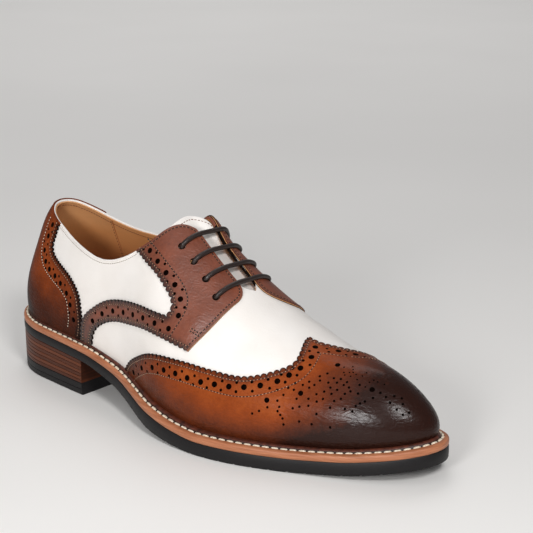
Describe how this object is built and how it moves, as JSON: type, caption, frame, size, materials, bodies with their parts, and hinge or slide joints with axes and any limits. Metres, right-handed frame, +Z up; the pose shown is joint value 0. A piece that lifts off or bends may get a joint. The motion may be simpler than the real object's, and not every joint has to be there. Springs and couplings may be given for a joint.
{
  "type": "derby shoe",
  "caption": "Right-foot wing-tip derby shoe: hollow leather upper with brogue overlays and laced facings, on a welted sole with a stacked heel.",
  "frame": {"origin": "on the floor, under the middle of the shoe's box", "axes": "+X from heel to toe, +Y to the inner side of the foot, +Z up"},
  "size_m": [0.3018, 0.1088, 0.1116],
  "materials": {
    "white_leather": "smooth",
    "brown_leather": "burnished",
    "tan_lining": "matt",
    "tan_welt": "satin",
    "black_rubber": "satin",
    "stacked_leather": "polished edge",
    "waxed_lace": "waxed braid"
  },
  "bodies": {
    "root": {"outsole": "black_rubber", "heel_stack": "stacked_leather", "heel_top_lift": "black_rubber", "welt": "tan_welt", "insole": "tan_lining", "upper": "white_leather", "wing_cap": "brown_leather", "heel_counter": "brown_leather", "facing_lateral": "brown_leather", "facing_medial": "brown_leather", "tongue": "white_leather", "lace_bar_1": "waxed_lace", "lace_bar_2": "waxed_lace", "lace_bar_3": "waxed_lace", "lace_bar_4": "waxed_lace"}
  },
  "joints": []
}
